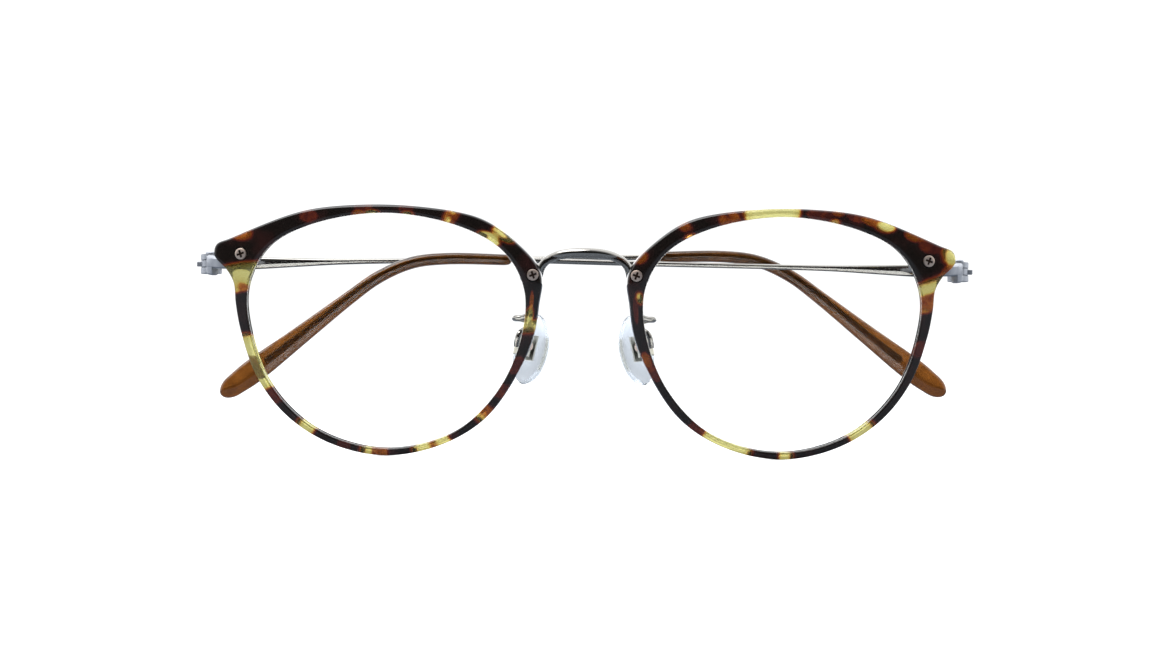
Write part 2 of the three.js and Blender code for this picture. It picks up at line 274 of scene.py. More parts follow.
def havanaPlastic(name, wander):
    material = bpy.data.materials.new(name)
    material.use_nodes = True
    tree = material.node_tree
    tree.nodes.clear()

    output = tree.nodes.new("ShaderNodeOutputMaterial")
    output.label = "Rim surface"
    output.location = (1100, 0)
    surface = tree.nodes.new("ShaderNodeBsdfPrincipled")
    surface.label = "Polished havana"
    surface.location = (800, 0)
    surface.inputs["Roughness"].default_value = 0.07
    surface.inputs["IOR"].default_value = 1.49
    surface.inputs["Specular IOR Level"].default_value = 0.5

    pattern = tree.nodes.new("NodeFrame")
    pattern.label = "Where the amber lies"
    amber = tree.nodes.new("ShaderNodeAttribute")
    amber.label = "Amber laid in the sheet"
    amber.location = (-900, 200)
    amber.parent = pattern
    amber.attribute_name = "amber"
    place = tree.nodes.new("ShaderNodeTexCoord")
    place.label = "Place on the rim"
    place.location = (-1300, -100)
    place.parent = pattern
    feather = tree.nodes.new("ShaderNodeTexNoise")
    feather.label = "Feathered borders"
    feather.location = (-1100, -50)
    feather.parent = pattern
    feather.inputs["Scale"].default_value = 520
    feather.inputs["Detail"].default_value = 3
    feather.inputs["Distortion"].default_value = 0.6
    centre = tree.nodes.new("ShaderNodeMath")
    centre.label = "Wander to both sides"
    centre.location = (-900, -50)
    centre.parent = pattern
    centre.operation = "SUBTRACT"
    centre.inputs[1].default_value = 0.5
    push = tree.nodes.new("ShaderNodeMath")
    push.label = "Amber with its borders moved"
    push.location = (-650, 100)
    push.parent = pattern
    push.operation = "MULTIPLY_ADD"
    push.inputs[1].default_value = wander

    colours = tree.nodes.new("NodeFrame")
    colours.label = "Colours of the sheet"
    dye = tree.nodes.new("ShaderNodeValToRGB")
    dye.label = "Dark brown to amber"
    dye.location = (-400, 200)
    dye.parent = colours
    stops = [
        (0.0, (0.006, 0.0045, 0.004)), (0.30, (0.009, 0.005, 0.0045)), (0.40, (0.04, 0.008, 0.006)),
        (0.465, (0.11, 0.022, 0.006)), (0.51, (0.27, 0.075, 0.010)), (0.56, (0.38, 0.24, 0.045)),
        (0.63, (0.42, 0.37, 0.11)), (1.0, (0.48, 0.455, 0.175)),
    ]
    while len(dye.color_ramp.elements) < len(stops):
        dye.color_ramp.elements.new(0.5)
    for element, (at, colour) in zip(dye.color_ramp.elements, stops):
        element.position = at
        element.color = (*colour, 1)
    clouds = tree.nodes.new("ShaderNodeTexNoise")
    clouds.label = "Maroon clouds"
    clouds.location = (-650, -250)
    clouds.parent = colours
    clouds.inputs["Scale"].default_value = 170
    clouds.inputs["Detail"].default_value = 2
    share = tree.nodes.new("ShaderNodeMapRange")
    share.label = "How maroon"
    share.location = (-400, -250)
    share.parent = colours
    share.inputs["From Min"].default_value = 0.52
    share.inputs["From Max"].default_value = 0.72
    share.inputs["To Max"].default_value = 0.4
    maroon = tree.nodes.new("ShaderNodeMix")
    maroon.label = "Maroon in the dark"
    maroon.location = (-100, 100)
    maroon.parent = colours
    maroon.data_type = "RGBA"
    maroon.blend_type = "ADD"
    maroon.inputs["B"].default_value = (0.03, 0.005, 0.005, 1)

    light = tree.nodes.new("NodeFrame")
    light.label = "Light through the amber"
    clear = tree.nodes.new("ShaderNodeMapRange")
    clear.label = "Clear where it is amber"
    clear.location = (100, -150)
    clear.parent = light
    clear.inputs["From Min"].default_value = 0.43
    clear.inputs["From Max"].default_value = 0.54
    clear.inputs["To Max"].default_value = 0.9

    tree.links.new(place.outputs["Object"], feather.inputs["Vector"])
    tree.links.new(feather.outputs["Fac"], centre.inputs[0])
    tree.links.new(centre.outputs[0], push.inputs[0])
    tree.links.new(amber.outputs["Fac"], push.inputs[2])
    tree.links.new(push.outputs[0], dye.inputs["Fac"])
    tree.links.new(place.outputs["Object"], clouds.inputs["Vector"])
    tree.links.new(clouds.outputs["Fac"], share.inputs["Value"])
    tree.links.new(share.outputs["Result"], maroon.inputs["Factor"])
    tree.links.new(dye.outputs["Color"], maroon.inputs["A"])
    tree.links.new(maroon.outputs["Result"], surface.inputs["Base Color"])
    tree.links.new(push.outputs[0], clear.inputs["Value"])
    tree.links.new(clear.outputs["Result"], surface.inputs["Transmission Weight"])
    tree.links.new(surface.outputs["BSDF"], output.inputs["Surface"])
    return material


def metal(name, bright, dull, roughness, patina, marks=0.06):
    material = bpy.data.materials.new(name)
    material.use_nodes = True
    tree = material.node_tree
    tree.nodes.clear()

    output = tree.nodes.new("ShaderNodeOutputMaterial")
    output.label = "Metal surface"
    output.location = (900, 0)
    surface = tree.nodes.new("ShaderNodeBsdfPrincipled")
    surface.label = "Plated titanium"
    surface.location = (600, 0)
    surface.inputs["Metallic"].default_value = 1

    ageing = tree.nodes.new("NodeFrame")
    ageing.label = "Antique plating"
    place = tree.nodes.new("ShaderNodeTexCoord")
    place.label = "Place on the metal"
    place.location = (-700, 0)
    mottle = tree.nodes.new("ShaderNodeTexNoise")
    mottle.label = "Uneven plating"
    mottle.location = (-450, 150)
    mottle.parent = ageing
    mottle.inputs["Scale"].default_value = patina
    mottle.inputs["Detail"].default_value = 4
    tone = tree.nodes.new("ShaderNodeMix")
    tone.label = "Bright and dull plating"
    tone.location = (-150, 150)
    tone.parent = ageing
    tone.data_type = "RGBA"
    tone.inputs["A"].default_value = (*bright, 1)
    tone.inputs["B"].default_value = (*dull, 1)
    sheen = tree.nodes.new("ShaderNodeMapRange")
    sheen.label = "Polish"
    sheen.location = (-150, -120)
    sheen.parent = ageing
    sheen.inputs["To Min"].default_value = roughness * 0.75
    sheen.inputs["To Max"].default_value = roughness * 1.3

    polish = tree.nodes.new("NodeFrame")
    polish.label = "Fine polishing marks"
    grain = tree.nodes.new("ShaderNodeTexNoise")
    grain.label = "Polishing marks"
    grain.location = (-450, -350)
    grain.parent = polish
    grain.inputs["Scale"].default_value = 5200
    grain.inputs["Detail"].default_value = 2
    relief = tree.nodes.new("ShaderNodeBump")
    relief.label = "Marks as relief"
    relief.location = (-150, -350)
    relief.parent = polish
    relief.inputs["Strength"].default_value = marks
    relief.inputs["Distance"].default_value = 0.00002

    tree.links.new(place.outputs["Object"], mottle.inputs["Vector"])
    tree.links.new(mottle.outputs["Fac"], tone.inputs["Factor"])
    tree.links.new(mottle.outputs["Fac"], sheen.inputs["Value"])
    tree.links.new(place.outputs["Object"], grain.inputs["Vector"])
    tree.links.new(grain.outputs["Fac"], relief.inputs["Height"])
    tree.links.new(tone.outputs["Result"], surface.inputs["Base Color"])
    tree.links.new(sheen.outputs["Result"], surface.inputs["Roughness"])
    tree.links.new(relief.outputs["Normal"], surface.inputs["Normal"])
    tree.links.new(surface.outputs["BSDF"], output.inputs["Surface"])
    return material


def clearPlastic(name, tint, shade, roughness, bend, cloudSize):
    material = bpy.data.materials.new(name)
    material.use_nodes = True
    tree = material.node_tree
    tree.nodes.clear()

    output = tree.nodes.new("ShaderNodeOutputMaterial")
    output.label = "Clear surface"
    output.location = (900, 0)
    surface = tree.nodes.new("ShaderNodeBsdfPrincipled")
    surface.label = "Clear plastic"
    surface.location = (300, 0)
    surface.inputs["Transmission Weight"].default_value = 1
    surface.inputs["Roughness"].default_value = roughness
    surface.inputs["IOR"].default_value = bend

    tinting = tree.nodes.new("NodeFrame")
    tinting.label = "Faint unevenness of the tint"
    place = tree.nodes.new("ShaderNodeTexCoord")
    place.label = "Place on the piece"
    place.location = (-500, 0)
    place.parent = tinting
    haze = tree.nodes.new("ShaderNodeTexNoise")
    haze.label = "Haze"
    haze.location = (-300, 0)
    haze.parent = tinting
    haze.inputs["Scale"].default_value = cloudSize
    tone = tree.nodes.new("ShaderNodeMix")
    tone.label = "Tint"
    tone.location = (0, 0)
    tone.parent = tinting
    tone.data_type = "RGBA"
    tone.inputs["A"].default_value = (*tint, 1)
    tone.inputs["B"].default_value = (*shade, 1)

    lamps = tree.nodes.new("NodeFrame")
    lamps.label = "Lamps reach what is behind"
    ray = tree.nodes.new("ShaderNodeLightPath")
    ray.label = "Lamp rays"
    ray.location = (300, 350)
    ray.parent = lamps
    through = tree.nodes.new("ShaderNodeBsdfTransparent")
    through.label = "Open to lamps"
    through.location = (300, -500)
    through.parent = lamps
    through.inputs["Color"].default_value = (*tint, 1)
    mix = tree.nodes.new("ShaderNodeMixShader")
    mix.label = "Clear or open"
    mix.location = (650, 0)
    mix.parent = lamps

    tree.links.new(place.outputs["Object"], haze.inputs["Vector"])
    tree.links.new(haze.outputs["Fac"], tone.inputs["Factor"])
    tree.links.new(tone.outputs["Result"], surface.inputs["Base Color"])
    tree.links.new(ray.outputs["Is Shadow Ray"], mix.inputs["Fac"])
    tree.links.new(surface.outputs["BSDF"], mix.inputs[1])
    tree.links.new(through.outputs["BSDF"], mix.inputs[2])
    tree.links.new(mix.outputs["Shader"], output.inputs["Surface"])
    return material


def brownPlastic(name):  # see-through enough to show the metal core
    material = bpy.data.materials.new(name)
    material.use_nodes = True
    tree = material.node_tree
    tree.nodes.clear()

    output = tree.nodes.new("ShaderNodeOutputMaterial")
    output.label = "Tip surface"
    output.location = (1200, 0)
    surface = tree.nodes.new("ShaderNodeBsdfPrincipled")
    surface.label = "Polished brown plastic"
    surface.location = (600, 0)
    surface.inputs["Roughness"].default_value = 0.04
    surface.inputs["IOR"].default_value = 1.49
    surface.inputs["Transmission Weight"].default_value = 0.9

    dyeing = tree.nodes.new("NodeFrame")
    dyeing.label = "Clouded brown"
    place = tree.nodes.new("ShaderNodeTexCoord")
    place.label = "Place on the tip"
    place.location = (-700, 0)
    place.parent = dyeing
    clouds = tree.nodes.new("ShaderNodeTexNoise")
    clouds.label = "Clouds in the brown"
    clouds.location = (-450, 0)
    clouds.parent = dyeing
    clouds.inputs["Scale"].default_value = 260
    clouds.inputs["Detail"].default_value = 3
    clouds.inputs["Distortion"].default_value = 1.2
    dye = tree.nodes.new("ShaderNodeValToRGB")
    dye.label = "Dark and light brown"
    dye.location = (-150, 0)
    dye.parent = dyeing
    dye.color_ramp.elements[0].position = 0.3
    dye.color_ramp.elements[0].color = (0.085, 0.028, 0.005, 1)
    dye.color_ramp.elements[1].position = 0.72
    dye.color_ramp.elements[1].color = (0.17, 0.06, 0.011, 1)

    lamps = tree.nodes.new("NodeFrame")
    lamps.label = "Lamps reach the core"
    ray = tree.nodes.new("ShaderNodeLightPath")
    ray.label = "Lamp rays"
    ray.location = (600, 350)
    ray.parent = lamps
    through = tree.nodes.new("ShaderNodeBsdfTransparent")
    through.label = "Brown light to the core"
    through.location = (600, -500)
    through.parent = lamps
    through.inputs["Color"].default_value = (0.62, 0.40, 0.19, 1)
    mix = tree.nodes.new("ShaderNodeMixShader")
    mix.label = "Plastic or open"
    mix.location = (950, 0)
    mix.parent = lamps

    tree.links.new(place.outputs["Object"], clouds.inputs["Vector"])
    tree.links.new(clouds.outputs["Fac"], dye.inputs["Fac"])
    tree.links.new(dye.outputs["Color"], surface.inputs["Base Color"])
    tree.links.new(ray.outputs["Is Shadow Ray"], mix.inputs["Fac"])
    tree.links.new(surface.outputs["BSDF"], mix.inputs[1])
    tree.links.new(through.outputs["BSDF"], mix.inputs[2])
    tree.links.new(mix.outputs["Shader"], output.inputs["Surface"])
    return material


finish = {
    "rim": havanaPlastic("havana acetate", 0.2),
    "tip": brownPlastic("brown acetate"),
    "polished": metal("antique silver titanium", (0.335, 0.322, 0.302), (0.295, 0.283, 0.264), 0.1, 260, 0),
    "satin": metal("satin silver titanium", (0.45, 0.467, 0.505), (0.39, 0.405, 0.445), 0.52, 300),
    "screw": metal("bright screw steel", (0.80, 0.66, 0.57), (0.62, 0.49, 0.41), 0.42, 600),
    "core": metal("core strip", (0.34, 0.33, 0.27), (0.29, 0.28, 0.22), 0.34, 120, 0),
    # painted shade: this dark brown metal goes on the faces of the screws' cross slots to stand in for the
    # shade in them
    "recess": metal("painted shade in screw cross", (0.10, 0.055, 0.035), (0.06, 0.035, 0.025), 0.4, 900),
    "insert": metal("plated pad core", (0.70, 0.67, 0.58), (0.55, 0.52, 0.44), 0.3, 500),
    "lens": clearPlastic("lens resin", (0.985, 0.992, 0.99), (0.975, 0.985, 0.982), 0.0, 1.14, 60),
    "pad": clearPlastic("clear silicone", (0.53, 0.575, 0.63), (0.47, 0.515, 0.575), 0.2, 1.34, 240),
}
print("materials written")

lensOutline = [
    (-24.2, 0), (-24.4, 8), (-20.8, 14.4), (-13.2, 18.7), (0, 21.0), (13.2, 18.8), (20.9, 14.6),
    (24.5, 7.5), (23.9, -0.5), (20.3, -9.7), (12.2, -17.4), (0, -20.7), (-12.3, -17.6), (-20.2, -9.9),
]
rimOutline = [
    (-26.4, 0), (-27.1, 5.2), (-27.6, 9.6), (-26.4, 12.6), (-21.2, 17.6), (-17.1, 20.1),
    (-12.6, 21.4), (-4.1, 22.4), (4.0, 22.5), (12.6, 21.7), (18.2, 20.2), (28.0, 16.1),
    (30.6, 14.9), (30.9, 12.9), (28.6, 10.5), (27.3, 8.2), (26.9, 4.6), (26.0, 0),
    (23.2, -8.0), (17.9, -15.0), (10.0, -20.0), (0, -22.1), (-10.2, -20.0), (-18.1, -15.0),
    (-24.0, -6.2),
]
rimShape = {
    "depth": 3.6,
    "frontEase": 0.6,   # soft edge along the outside of the face
    "lensEase": 0.45,
    "backEase": 0.4,
    "groove": (1.0, 2.6, 0.62),  # from, to, and how deep
    "steps": 6,         # between two places of the outline
}
frontScrew = {
    "places": {"bridge": (-26.0, 10.4), "endpiece": (26.0, 13.35)},
    "radius": 1.05, "recess": 0.35, "height": 0.6, "shank": 0.7, "length": 5.2, "gap": 0.13,
    "hole": 0.79,            # radius of the hole behind the head
    "driver": (1.35, 0.36),  # length and width of the cross
    "turned": 20,            # degrees the cross stands aslant
}


def turnOf(point):  # angle round the lens, from the temple up and over
    return degrees(atan2(point[1], point[0])) % 360


edgeSteps = 24  # between two places of the lens outline
innerEdge = sorted((turnOf(p), p.length) for p in
                   curveThrough([(x, z, 0) for x, z in lensOutline], edgeSteps, True))


def reachAlong(edge, turn):  # from the lens centre to an edge, at this angle
    for (low, near), (high, far) in zip(edge, edge[1:]):
        if low <= turn <= high:
            return near + (far - near) * (turn - low) / (high - low)
    (low, near), (high, far) = edge[-1], edge[0]
    return near + (far - near) * ((turn - low) % 360) / ((high - low) % 360)


def rimRing(point):  # the rim's section at one place along its outline, in rim coordinates
    s = rimShape
    turn = turnOf(point)
    out = Vector((point[0], 0, point[1]))
    inside = out.normalized() * reachAlong(innerEdge, turn)
    way = (out - inside).normalized()
    width = (out - inside).length
    grooveFrom, grooveTo, grooveDeep = s["groove"]
    section = [
        (width, s["depth"] - s["backEase"]), (width, s["frontEase"]),
        (width - 0.22 * s["frontEase"], 0.2 * s["frontEase"]),
        (width - 1.15 * s["frontEase"], 0), (width / 2, -0.01), (1.1 * s["lensEase"], 0),
        (0.22 * s["lensEase"], 0.22 * s["lensEase"]), (0, s["lensEase"] + 0.1),
        (0, grooveFrom - 0.1), (0.08, grooveFrom), (grooveDeep, grooveFrom + 0.35),
        (grooveDeep, grooveTo - 0.35), (0.08, grooveTo), (0, grooveTo + 0.1),
        (0, s["depth"] - s["backEase"]),
        (0.9 * s["backEase"], s["depth"]), (width - 0.9 * s["backEase"], s["depth"]),
    ]
    return [inside + way * u + Vector((0, y, 0)) for u, y in section]


rimLine = curveThrough([(x, z, 0) for x, z in rimOutline], rimShape["steps"], True)
outerEdge = sorted((turnOf(p), p.length) for p in rimLine)

# Patches in the sheet, each with its angle from the temple up and over, half its span in degrees,
# its place across the limb from the lens (0) to the outside (1), half its reach across, its colour,
# and the degrees that it slants by for each millimetre out. An ember darkens amber to rust.
whole = 9  # a reach that takes in all of the limb
amberPlaces = {
    "right": [
        (18.4, 6.0, 0.5, whole, "amber", 1.3), (15.5, 1.6, 0.2, 0.5, "ember"),
        (32.5, 2.4, 1.0, 0.26, "rust"), (55, 2.4, 0.6, 0.3, "maroon"),
        (76.5, 2.6, 0.05, 0.36, "rust"), (79, 3, 0.8, 0.4, "maroon"), (82.5, 3.4, 0.0, 0.4, "amber"),
        (99.4, 2.8, 0.0, 0.42, "amber"), (98.5, 2.2, 0.7, 0.4, "maroon"),
        (118, 1.7, 0.15, 0.4, "amber"), (118.6, 1.5, 0.95, 0.32, "amber"),
        (118.4, 2.4, 0.5, whole, "rust"),
        (139.2, 4.6, 0.88, 0.42, "amber"), (136.6, 4.8, 0.1, 0.42, "amber"),
        (168, 4.4, 0.45, 0.13, "rust"), (172.5, 3.2, 0.35, 0.32, "amber"),
        (176.6, 2.4, 0.5, whole, "amber"),
        (193, 3, 0.5, 0.5, "maroon"), (205.5, 2.4, 0.5, whole, "maroon"), (218.5, 3.6, 0.5, whole, "rust"),
        (221, 1.5, 0.5, whole, "amber"), (241.6, 4.0, 0.5, whole, "amber"),
        (246.6, 3.4, 0.5, whole, "rust"), (251.6, 4.2, 0.5, whole, "amber"),
        (271, 2.6, 0.5, whole, "rust"), (277.9, 2.7, 0.5, whole, "amber"),
        (289, 2, 0.5, 0.5, "maroon"), (309, 4.4, 0.5, whole, "amber"), (330, 4, 0.5, whole, "maroon"),
        (345.2, 12.4, 0.5, whole, "amber"),
    ],
    "left": [
        (12.8, 3.6, 0.5, whole, "rust"), (17.8, 2.5, 0.4, whole, "amber"), (24.8, 2.9, 0.98, 0.24, "amber"),
        (20.8, 2.2, 0.93, 0.22, "rust"), (30.5, 3, 0.95, 0.3, "maroon"), (36.5, 2.6, 0.92, 0.22, "rust"),
        (46.6, 3.4, 0.75, 0.32, "amber"), (50.5, 5.2, 0.82, 0.3, "rust"), (57, 4, 0.88, 0.34, "maroon"),
        (65.6, 2.3, 0.02, 0.3, "amber"), (65.6, 2.2, 0.95, 0.3, "rust"), (73, 5, 0.6, 0.5, "maroon"),
        (95, 13, 0.5, whole, "amber"), (111, 5, 0.5, whole, "maroon"), (112.5, 2, 0.4, 0.5, "rust"),
        (116.6, 1.9, 0.3, 0.45, "rust"), (131.8, 1.5, 0.85, 0.3, "rust"), (133, 1.9, 0.02, 0.2, "amber"),
        (151.2, 1.9, 0.92, 0.24, "rust"), (165.2, 1.8, 0.25, 0.24, "amber"), (170, 4, 0.6, 0.16, "maroon"),
        (190, 2.8, 0.6, 0.36, "rust"), (195, 4, 0.5, 0.5, "maroon"),
        (228.6, 4, 0.5, whole, "maroon"), (243.2, 12, 0.5, whole, "amber"),
        (271.8, 3.3, 0.5, whole, "amber"), (309.6, 6.5, 0.5, whole, "amber"),
        (354, 2.5, 0.5, 0.5, "maroon"),
    ],
}
slab = {
    "tones": {"maroon": 0.40, "rust": 0.492, "amber": 1.0},  # how far up the dye each colour lies
    "ember": 0.53,
    "border": 3.2,   # millimetres over which a patch fades
    "layers": 0.35,  # degrees that the layers slant by for each millimetre of depth
    "middle": (28, 1.8),  # radius and depth that the slants turn about
}


def amberAt(hand, turn, radius, across, depth):
    midRadius, midDepth = slab["middle"]
    most, least = 0.0, 1.0
    for centre, span, middle, reach, tone, *slant in amberPlaces[hand]:
        along = (turn - centre + 180) % 360 - 180 + slab["layers"] * (depth - midDepth)
        if slant:
            along += slant[0] * (radius - midRadius)
        if abs(along) > 3 * span + 12:  # too far off to count
            continue
        away = hypot(along / span, (across - middle) / reach)
        edge = (1 - away) * radians(span) * radius / slab["border"]
        if tone == "ember":
            least = min(least, slab["ember"] - edge)
        else:
            most = max(most, min(0.5 + edge, slab["tones"][tone]))
    return max(0.0, min(1.0, most, max(least, 0.5)))


for hand in sides:
    rim = loft(f"rim_{hand}_ring", [rimRing(p) for p in rimLine], loop=True)
    applied(smoother(rim, 2))
    cutters = []
    for key, at in frontScrew["places"].items():
        flat = Matrix.Translation((0, -sag(*at), 0)) @ eyeFrame.inverted() @ seat(*at)
        hole = frontScrew["radius"] + frontScrew["gap"]
        deep = frontScrew["recess"] + 0.05
        bore = frontScrew["hole"]
        profile = [(0, -1), (hole, -1), (hole, deep), (bore, deep), (bore, 5), (0, 5)]
        cutters.append(turnedShape(f"cut_{key}", profile, flat))
    cutBy(rim, cutters)
    place = toSide(eyeFrame, hand)
    values = []
    for vertex in rim.data.vertices:
        x, y, z = vertex.co / mm
        turn, radius = turnOf((x, z)), hypot(x, z)
        near, far = reachAlong(innerEdge, turn), reachAlong(outerEdge, turn)
        values.append(amberAt(hand, turn, radius, (radius - near) / (far - near), y))
        vertex.co = (place @ Vector((x, y + sag(x, z), z))) * mm
    rim.data.attributes.new("amber", "FLOAT", "POINT").data.foreach_set("value", values)
    if sides[hand] < 0:
        rim.data.flip_normals()
    done(rim, "front", "tortoise_acetate", finish["rim"], f"rim_{hand}")
print("rims made")

lensShape = {
    "thickness": 1.4, "inset": 1.1,
    "bite": 0.4,                # how far the edge goes into the groove
    "steps": (96, 14),          # round the lens, and out from its middle
    "lastRings": (0.985, 1),    # where the two outer rings lie, close together for a crisp edge
}

for hand in sides:
    middle = lensShape["inset"] + lensShape["thickness"] / 2
    points = [(0, middle, 0)]
    faces = []
    around, across = lensShape["steps"]
    for i in range(1, across + 1):
        for k in range(around):
            turn = 360 * k / around
            reach = i / across if i < across - 1 else lensShape["lastRings"][i - across + 1]
            r = (reachAlong(innerEdge, turn) + lensShape["bite"]) * reach
            x, z = r * cos(radians(turn)), r * sin(radians(turn))
            points.append((x, middle + sag(x, z), z))
    for k in range(around):
        n = (k + 1) % around
        faces.append((0, 1 + k, 1 + n))
        for i in range(across - 1):
            a, b = 1 + i * around, 1 + (i + 1) * around
            faces.append((a + k, b + k, b + n, a + n))
    lens = meshFrom(f"lens_{hand}_clear", points, faces, toSide(eyeFrame, hand))
    shell = lens.modifiers.new("Lens thickness", "SOLIDIFY")
    shell.thickness = lensShape["thickness"] * mm
    shell.offset = 0
    applied(lens)
    lens.data.set_sharp_from_angle(angle=crease)
    done(lens, "front", "lens_resin", finish["lens"], f"lens_{hand}")
print("lenses made")

bridgeShape = {
    "wire": 0.75, "lugRadius": 1.9, "lug": 1.1, "behind": 4.4, "lugEase": 0.15,
    "half": [(3.6, 4.1, 13.95, 1.16), (5.9, 5.0, 13.2, 1.02), (7.4, 5.7, 12.0, 1.0),
             (8.1, 5.8, 10.2, 1.0), (8.2, 5.8, 7.9, 0.95)],  # places on the wire, with its thickness
    "crown": (0, 3.6, 14.2, 1.25),
}
arch = ([(-x, y, z, t) for x, y, z, t in reversed(bridgeShape["half"])] + [bridgeShape["crown"]]
        + bridgeShape["half"])
bridge = wire("bridge_arch", [p[:3] for p in arch], bridgeShape["wire"], frontFrame,
              [p[3] for p in arch])
done(bridge, "front", "titanium", finish["polished"], "bridge")
for hand in sides:
    s = bridgeShape
    back, ahead = s["behind"] + s["lug"] / 2, s["behind"] - s["lug"] / 2
    bore, rim, ease = frontScrew["hole"], s["lugRadius"], s["lugEase"]
    profile = [(bore, ahead), (rim - ease, ahead), (rim, ahead + ease), (rim, back - ease),
               (rim - ease, back), (bore, back), (bore, ahead)]
    place = toSide(seat(*frontScrew["places"]["bridge"]), hand)
    lug = turnedShape(f"bridge_lug_{hand}", profile, place)
    done(lug, "front", "titanium", finish["polished"], "bridge")
print("bridge made")

for hand in sides:
    for key, at in frontScrew["places"].items():
        s = frontScrew
        place = toSide(seat(*at), hand)
        top, end = s["recess"] - s["height"], s["recess"] + s["length"]
        profile = [(0, top), (s["radius"] - 0.22, top), (s["radius"] - 0.06, top + 0.07),
                   (s["radius"], top + 0.24), (s["radius"], s["recess"]), (s["shank"], s["recess"]),
                   (s["shank"], end - 0.15), (s["shank"] - 0.15, end), (0, end)]
        screw = turnedShape(f"{key}_screw_{hand}_pin", profile, place)
        turned = (place @ Matrix.Translation((0, top, 0))
                  @ Matrix.Rotation(radians(s["turned"]), 4, "Y"))
        long, narrow = s["driver"]
        cutBy(screw, [box("slot along", (long, 0.7, narrow), turned),
                      box("slot across", (narrow, 0.7, long), turned)])
        done(screw, "front", "screw_steel", finish["screw"], f"{key}_screw_{hand}")
        screw.data.materials.append(finish["recess"])
        back = place.inverted()
        for face in screw.data.polygons:  # the cross gets painted shade: a dark metal on its slot faces stands in for the shade there
            spot = back @ (face.center / mm)
            if top + 0.02 < spot.y < top + 0.4 and hypot(spot.x, spot.z) < long / 2 + 0.015:
                face.material_index = 1
print("front screws made")

for hand in sides:
    endpiece = machined(f"endpiece_{hand}", f"endpiece_{hand}_block", 0.16)
    done(endpiece, "front", "titanium", finish["satin"], f"endpiece_{hand}")
    hingeScrew = machined(f"hinge_screw_{hand}", f"hinge_screw_{hand}_pin", 0.06)
    done(hingeScrew, "front", "screw_steel", finish["satin"], f"hinge_screw_{hand}")
print("endpieces made")

barStations = [
    (3.2, 0.05, 1.1), (8, 0.15, 1.1), (16, 0.3, 0.8), (24, 0.45, 0.54), (60, 0.95, 0.5),
    (80, 1.3, 0.5), (92, 1.4, 0.5), (98, 0.6, 0.55), (104, -2.1, 0.55), (118.2, -13, 0.6),
    (123.4, -17.1, 0.75),
]
tipStations = [
    (80, 1.3, 1), (92, 1.4, 1.08), (98, 0.6, 1.1), (104, -2.1, 1.15), (109.2, -5.9, 1.25),
    (118.2, -13, 1.75), (124, -17.5, 2.15), (127, -19.8, 2.2), (129.3, -21.55, 1.97),
]
templeShape = {
    "bar": 1.15, "core": 0.9, "tip": 2.6,  # thicknesses
    "edge": 0.34, "coreEdge": 0.2, "tipEdge": 0.55,
    "tipEnd": 1.6,        # how long the tip's round end is, against its half height
    "tipFrom": 80.4, "barTo": 92,
    "barrel": (0.66, 1.85, 0.6, 0.07),  # bore, radius, half height and eased edge
    "tongue": (1.5, 2.5, 1.2), "tongueAt": 2.35, "tongueEdge": 0.15,
    "heel": (0.9, 1.35, 0.87), "heelAt": -1.92, "heelEdge": 0.12,
}


# Rings of a bar with rounded edges. A station holds its place along the temple, its height,
# and half how tall the bar is there.
def ribbonRings(stations, perSpan, thickness, edge, tipped, taper=1.0):
    line = curveThrough(stations, perSpan)
    rings = []
    spots = []
    for i, spot in enumerate(line):
        ahead, behind = line[min(i + 1, len(line) - 1)], line[max(i - 1, 0)]
        way = Vector((0, ahead.x - behind.x, ahead.y - behind.y)).normalized()
        spots.append((Vector((0, spot.x, spot.y)), way, spot.z, 1.0))
    centre, way, half, _ = spots[-1]
    if tipped:  # a round far end
        for turn in (15, 30, 45, 58, 70, 80, 87):
            spots.append((centre + way * half * taper * sin(radians(turn)), way,
                          half * cos(radians(turn)), cos(radians(turn)) ** 0.4))
    for centre, way, half, full in spots:
        up = Vector((0, -way.z, way.y))
        side = Vector((thickness / 2 * full, 0, 0))
        ease = min(edge, 0.48 * half)
        inset = Vector((min(edge, 0.42 * thickness * full), 0, 0))
        rings.append([
            centre + side + up * (half - ease), centre + side - inset + up * half,
            centre - side + inset + up * half, centre - side + up * (half - ease),
            centre - side - up * (half - ease), centre - side + inset - up * half,
            centre + side - inset - up * half, centre + side - up * (half - ease)])
    return rings


